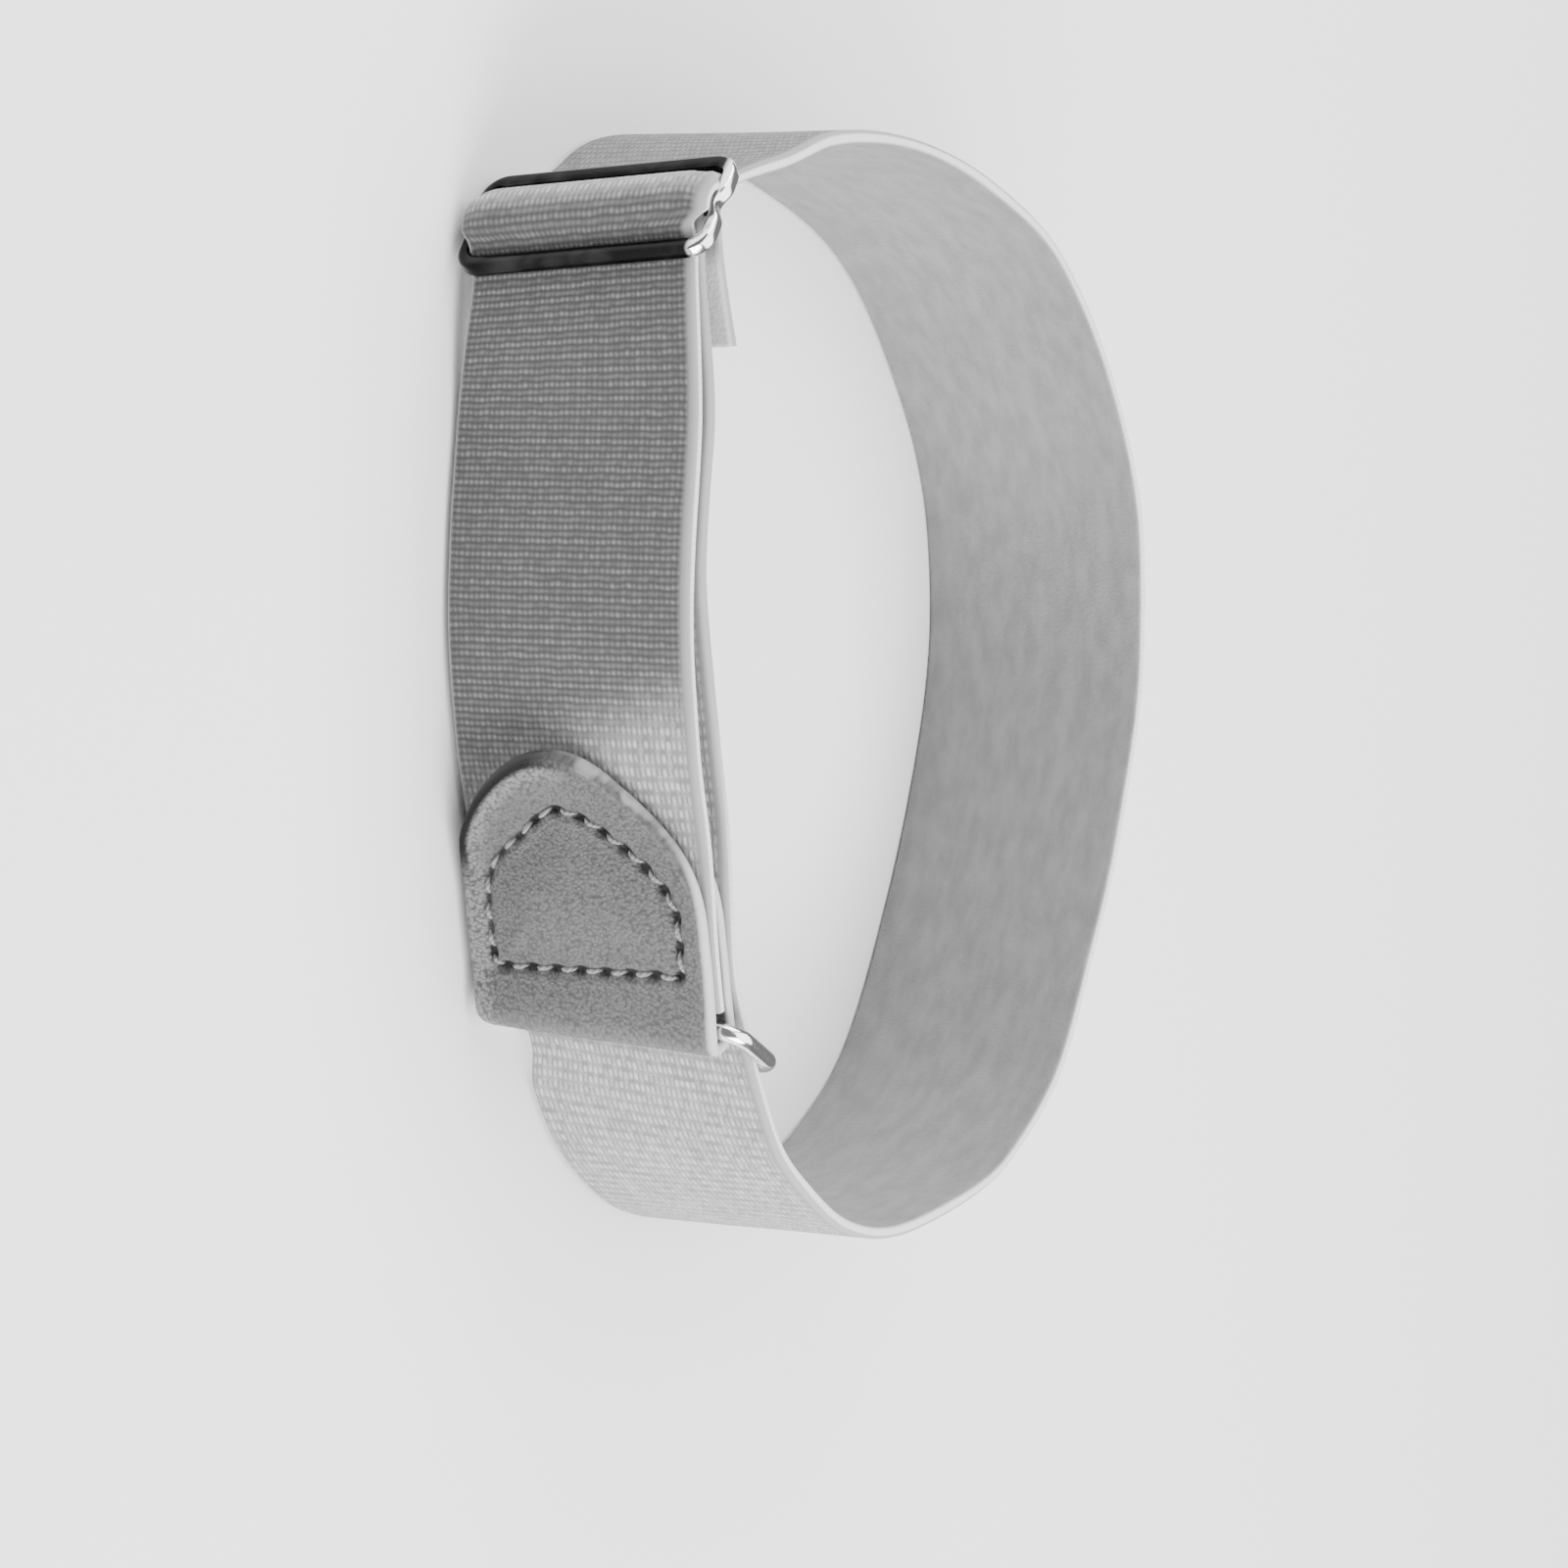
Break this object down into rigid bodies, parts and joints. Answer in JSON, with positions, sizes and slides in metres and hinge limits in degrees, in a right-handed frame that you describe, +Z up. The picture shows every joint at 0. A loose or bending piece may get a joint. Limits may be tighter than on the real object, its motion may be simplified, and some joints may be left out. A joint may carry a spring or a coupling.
{
  "type": "shirt stay",
  "caption": "Adjustable elastic sleeve band: a woven strip loop with a three-bar slider, a wire ring and a stitched leather tab, standing on its rim.",
  "frame": {"origin": "middle of the band's footprint, on the surface that it stands on", "axes": "+Z up along the arm's axis, across the strip's width; -Y is the front with the slider at -X and the leather tab and ring at +X"},
  "size_m": [0.1048, 0.1016, 0.0273],
  "materials": {
    "elastic": "ribbed woven face, brushed back",
    "leather": "fine grain, pale cut edges, contrast stitching",
    "slider_metal": "polished",
    "ring_metal": "polished"
  },
  "bodies": {
    "root": {"elastic_band": "elastic", "leather_tab": "leather", "slider": "slider_metal", "ring": "ring_metal"}
  },
  "joints": []
}
